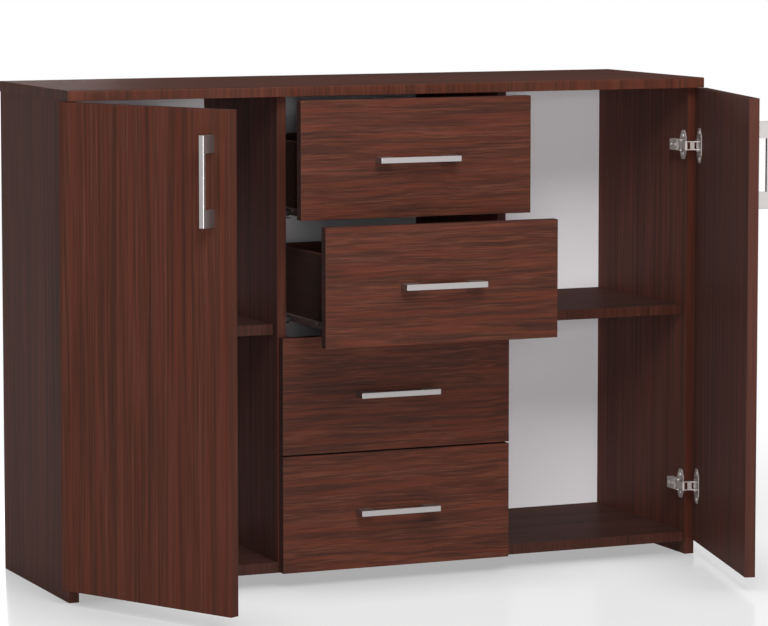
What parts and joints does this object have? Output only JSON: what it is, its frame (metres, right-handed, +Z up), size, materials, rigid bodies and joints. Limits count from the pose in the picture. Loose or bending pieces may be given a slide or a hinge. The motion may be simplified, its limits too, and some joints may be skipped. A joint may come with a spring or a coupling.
{
  "type": "drawer cabinet",
  "caption": "Dark wood office sideboard with a stack of pull-out drawers between two hinged doors and a shelf behind each door.",
  "frame": {"origin": "on the floor, in the cabinet's middle plane, at the front edges of the side panels", "axes": "+X to the right as seen from the front, +Y from front to back, +Z up"},
  "size_m": [1.2258, 0.7276, 0.868],
  "materials": {
    "dark_laminate": "satin wood-grain laminate, dark reddish brown",
    "box_board": "plain satin laminate, dark brown",
    "white_board": "smooth white hardboard",
    "satin_handle": "satin silver",
    "hinge_steel": "nickel plated",
    "runner_steel": "dark brown epoxy coating, satin",
    "roller_plastic": "moulded nylon, black",
    "screw_steel": "zinc plated"
  },
  "bodies": {
    "carcass": {"top_panel": "dark_laminate", "bottom_panel": "dark_laminate", "back_panel": "white_board", "left_side_panel": "dark_laminate", "right_side_panel": "dark_laminate", "left_divider": "dark_laminate", "right_divider": "dark_laminate", "left_shelf": "dark_laminate", "right_shelf": "dark_laminate", "shelf_pins": "screw_steel", "left_hinge_plates": "hinge_steel", "right_hinge_plates": "hinge_steel", "left_hinge_arms": "hinge_steel", "right_hinge_arms": "hinge_steel", "carcass_runners": "runner_steel", "carcass_screws": "screw_steel"},
    "left_door": {"left_door": "dark_laminate", "left_door_handle": "satin_handle", "left_hinge_cups": "hinge_steel", "left_cup_screws": "screw_steel"},
    "left_inner_links": {"left_hinge_inner_links": "hinge_steel"},
    "left_outer_links": {"left_hinge_outer_links": "hinge_steel"},
    "right_door": {"right_door": "dark_laminate", "right_door_handle": "satin_handle", "right_hinge_cups": "hinge_steel", "right_cup_screws": "screw_steel"},
    "right_inner_links": {"right_hinge_inner_links": "hinge_steel"},
    "right_outer_links": {"right_hinge_outer_links": "hinge_steel"},
    "drawer_1": {"drawer_1_front": "dark_laminate", "drawer_1_handle": "satin_handle", "drawer_1_box_sides": "box_board", "drawer_1_box_back": "box_board", "drawer_1_box_bottom": "white_board", "drawer_1_runners": "runner_steel"},
    "drawer_1_front_rollers": {"drawer_1_front_rollers": "roller_plastic"},
    "drawer_1_rear_rollers": {"drawer_1_rear_rollers": "roller_plastic"},
    "drawer_2": {"drawer_2_front": "dark_laminate", "drawer_2_handle": "satin_handle", "drawer_2_box_sides": "box_board", "drawer_2_box_back": "box_board", "drawer_2_box_bottom": "white_board", "drawer_2_runners": "runner_steel"},
    "drawer_2_front_rollers": {"drawer_2_front_rollers": "roller_plastic"},
    "drawer_2_rear_rollers": {"drawer_2_rear_rollers": "roller_plastic"},
    "drawer_3": {"drawer_3_front": "dark_laminate", "drawer_3_handle": "satin_handle", "drawer_3_box_sides": "box_board", "drawer_3_box_back": "box_board", "drawer_3_box_bottom": "white_board", "drawer_3_runners": "runner_steel"},
    "drawer_3_front_rollers": {"drawer_3_front_rollers": "roller_plastic"},
    "drawer_3_rear_rollers": {"drawer_3_rear_rollers": "roller_plastic"},
    "drawer_4": {"drawer_4_front": "dark_laminate", "drawer_4_handle": "satin_handle", "drawer_4_box_sides": "box_board", "drawer_4_box_back": "box_board", "drawer_4_box_bottom": "white_board", "drawer_4_runners": "runner_steel"},
    "drawer_4_front_rollers": {"drawer_4_front_rollers": "roller_plastic"},
    "drawer_4_rear_rollers": {"drawer_4_rear_rollers": "roller_plastic"}
  },
  "joints": [
    {"name": "left_door_swing", "type": "hinge", "parent": "carcass", "child": "left_door", "pos_m": [-0.5958, -0.002, 0.437], "axis": [0, 0, -1], "range_deg": [-62.5, 42.5]},
    {"name": "left_inner_link_pivot", "type": "hinge", "parent": "carcass", "child": "left_inner_links", "pos_m": [-0.5698, 0.008, 0.437], "axis": [0, 0, -1], "range_deg": [-62.5, 42.5]},
    {"name": "left_outer_link_pivot", "type": "hinge", "parent": "left_door", "child": "left_outer_links", "pos_m": [-0.5885, -0.02469, 0.437], "axis": [0, 0, -1], "range_deg": [-42.5, 62.5]},
    {"name": "right_door_swing", "type": "hinge", "parent": "carcass", "child": "right_door", "pos_m": [0.5958, -0.002, 0.437], "axis": [0, 0, 1], "range_deg": [-75.2, 29.8]},
    {"name": "right_inner_link_pivot", "type": "hinge", "parent": "carcass", "child": "right_inner_links", "pos_m": [0.5698, 0.008, 0.437], "axis": [0, 0, 1], "range_deg": [-75.2, 29.8]},
    {"name": "right_outer_link_pivot", "type": "hinge", "parent": "right_door", "child": "right_outer_links", "pos_m": [0.59366, -0.02574, 0.437], "axis": [0, 0, 1], "range_deg": [-29.8, 75.2]},
    {"name": "drawer_1_slide", "type": "slide", "parent": "carcass", "child": "drawer_1", "axis": [0, -1, 0], "range_m": [-0.084, 0.136]},
    {"name": "drawer_1_front_roller_spin", "type": "hinge", "parent": "carcass", "child": "drawer_1_front_rollers", "pos_m": [0, 0.014, 0.64925], "axis": [1, 0, 0], "continuous": true},
    {"name": "drawer_1_rear_roller_spin", "type": "hinge", "parent": "drawer_1", "child": "drawer_1_rear_rollers", "pos_m": [0, 0.202, 0.64735], "axis": [1, 0, 0], "continuous": true},
    {"name": "drawer_2_slide", "type": "slide", "parent": "carcass", "child": "drawer_2", "axis": [0, -1, 0], "range_m": [-0.192, 0.028]},
    {"name": "drawer_2_front_roller_spin", "type": "hinge", "parent": "carcass", "child": "drawer_2_front_rollers", "pos_m": [0, 0.014, 0.46545], "axis": [1, 0, 0], "continuous": true},
    {"name": "drawer_2_rear_roller_spin", "type": "hinge", "parent": "drawer_2", "child": "drawer_2_rear_rollers", "pos_m": [0, 0.094, 0.46355], "axis": [1, 0, 0], "continuous": true},
    {"name": "drawer_3_slide", "type": "slide", "parent": "carcass", "child": "drawer_3", "axis": [0, -1, 0], "range_m": [0, 0.22]},
    {"name": "drawer_3_front_roller_spin", "type": "hinge", "parent": "carcass", "child": "drawer_3_front_rollers", "pos_m": [0, 0.014, 0.25915], "axis": [1, 0, 0], "continuous": true},
    {"name": "drawer_3_rear_roller_spin", "type": "hinge", "parent": "drawer_3", "child": "drawer_3_rear_rollers", "pos_m": [0, 0.286, 0.25725], "axis": [1, 0, 0], "continuous": true},
    {"name": "drawer_4_slide", "type": "slide", "parent": "carcass", "child": "drawer_4", "axis": [0, -1, 0], "range_m": [0, 0.22]},
    {"name": "drawer_4_front_roller_spin", "type": "hinge", "parent": "carcass", "child": "drawer_4_front_rollers", "pos_m": [0, 0.014, 0.05285], "axis": [1, 0, 0], "continuous": true},
    {"name": "drawer_4_rear_roller_spin", "type": "hinge", "parent": "drawer_4", "child": "drawer_4_rear_rollers", "pos_m": [0, 0.286, 0.05095], "axis": [1, 0, 0], "continuous": true}
  ],
  "couplings": [
    {"joint": "left_inner_link_pivot", "follows": "left_door_swing", "ratio": 1},
    {"joint": "left_outer_link_pivot", "follows": "left_door_swing", "ratio": -1},
    {"joint": "right_inner_link_pivot", "follows": "right_door_swing", "ratio": 1},
    {"joint": "right_outer_link_pivot", "follows": "right_door_swing", "ratio": -1},
    {"joint": "drawer_1_front_roller_spin", "follows": "drawer_1_slide", "rad_per_m": 142.86},
    {"joint": "drawer_1_rear_roller_spin", "follows": "drawer_1_slide", "rad_per_m": 142.86},
    {"joint": "drawer_2_front_roller_spin", "follows": "drawer_2_slide", "rad_per_m": 142.86},
    {"joint": "drawer_2_rear_roller_spin", "follows": "drawer_2_slide", "rad_per_m": 142.86},
    {"joint": "drawer_3_front_roller_spin", "follows": "drawer_3_slide", "rad_per_m": 142.86},
    {"joint": "drawer_3_rear_roller_spin", "follows": "drawer_3_slide", "rad_per_m": 142.86},
    {"joint": "drawer_4_front_roller_spin", "follows": "drawer_4_slide", "rad_per_m": 142.86},
    {"joint": "drawer_4_rear_roller_spin", "follows": "drawer_4_slide", "rad_per_m": 142.86}
  ]
}
